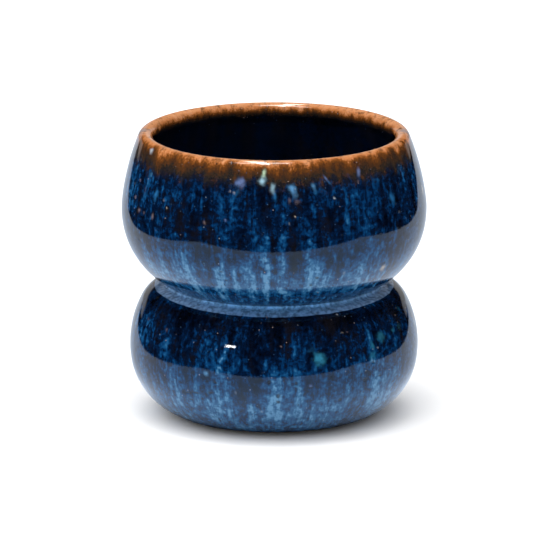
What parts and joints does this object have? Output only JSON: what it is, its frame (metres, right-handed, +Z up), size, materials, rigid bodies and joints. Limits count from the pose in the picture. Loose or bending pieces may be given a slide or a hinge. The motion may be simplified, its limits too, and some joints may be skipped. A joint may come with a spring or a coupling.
{
  "type": "shaving mug",
  "caption": "Handle-less glazed stoneware shaving mug, round belly over round belly with a gripping waist between, wide rounded lip and small foot.",
  "frame": {"origin": "on the mug's axis, in the plane that the foot ring rests on", "axes": "+Z up along the turning axis, towards the lip; +X to the right and +Y away from the front"},
  "size_m": [0.1004, 0.1004, 0.0947],
  "materials": {
    "stoneware_clay": "matte",
    "bare_foot": "matte",
    "amber_rim_glaze": "gloss",
    "blue_glaze": "gloss",
    "dark_liner_glaze": "gloss"
  },
  "bodies": {
    "root": {"upper_bowl": "stoneware_clay", "lower_bowl": "stoneware_clay", "foot_ring": "bare_foot", "rim_glaze": "amber_rim_glaze", "upper_glaze": "blue_glaze", "lower_glaze": "blue_glaze", "liner_glaze": "dark_liner_glaze"}
  },
  "joints": []
}
